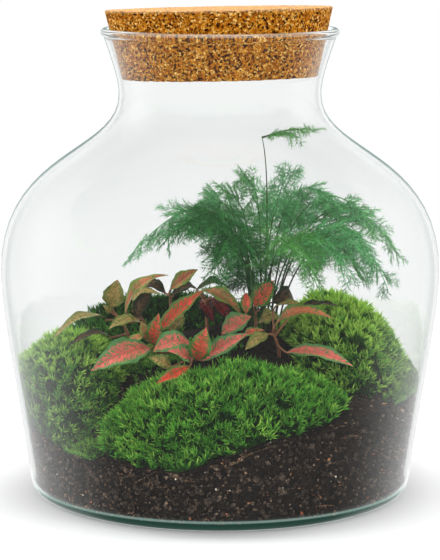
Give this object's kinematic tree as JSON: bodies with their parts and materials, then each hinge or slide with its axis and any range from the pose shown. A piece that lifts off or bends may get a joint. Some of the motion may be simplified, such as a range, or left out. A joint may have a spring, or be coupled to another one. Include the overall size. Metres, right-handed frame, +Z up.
{
  "type": "glass plant terrarium",
  "caption": "Corked glass jar terrarium planted with cushions of moss, a red-veined nerve plant and an asparagus fern in potting soil.",
  "frame": {"origin": "centre of the jar's foot, on the surface that the jar stands on", "axes": "+Z up through the cork, -Y towards the front of the planting, +X to the right"},
  "size_m": [0.27, 0.27, 0.3002],
  "materials": {
    "jar_glass": "clear blown glass, faint green at the thick edges",
    "stopper_cork": "pressed cork granules, matt",
    "potting_soil": "dark crumbly potting soil with bark",
    "moss": "soft green moss tufts",
    "nerve_leaves": "satin leaf, red to pink with green margins",
    "fern_needles": "fine matt green needles on wiry stems"
  },
  "bodies": {
    "root": {"glass_jar": "jar_glass", "cork_stopper": "stopper_cork", "potting_soil": "potting_soil", "moss_left": "moss", "moss_right": "moss", "moss_centre": "moss", "moss_back": "moss", "nerve_shoot_1": "nerve_leaves", "nerve_shoot_2": "nerve_leaves", "nerve_shoot_3": "nerve_leaves", "nerve_shoot_4": "nerve_leaves", "nerve_shoot_5": "nerve_leaves", "nerve_shoot_6": "nerve_leaves", "nerve_shoot_7": "nerve_leaves", "nerve_shoot_8": "nerve_leaves", "nerve_shoot_9": "nerve_leaves", "fern_frond_01": "fern_needles", "fern_frond_02": "fern_needles", "fern_frond_03": "fern_needles", "fern_frond_04": "fern_needles", "fern_frond_05": "fern_needles", "fern_frond_06": "fern_needles", "fern_frond_07": "fern_needles", "fern_frond_08": "fern_needles", "fern_frond_09": "fern_needles", "fern_frond_10": "fern_needles", "fern_frond_11": "fern_needles", "fern_frond_12": "fern_needles", "fern_frond_13": "fern_needles", "fern_frond_14": "fern_needles", "fern_frond_15": "fern_needles", "fern_frond_16": "fern_needles", "fern_frond_17": "fern_needles"}
  },
  "joints": []
}
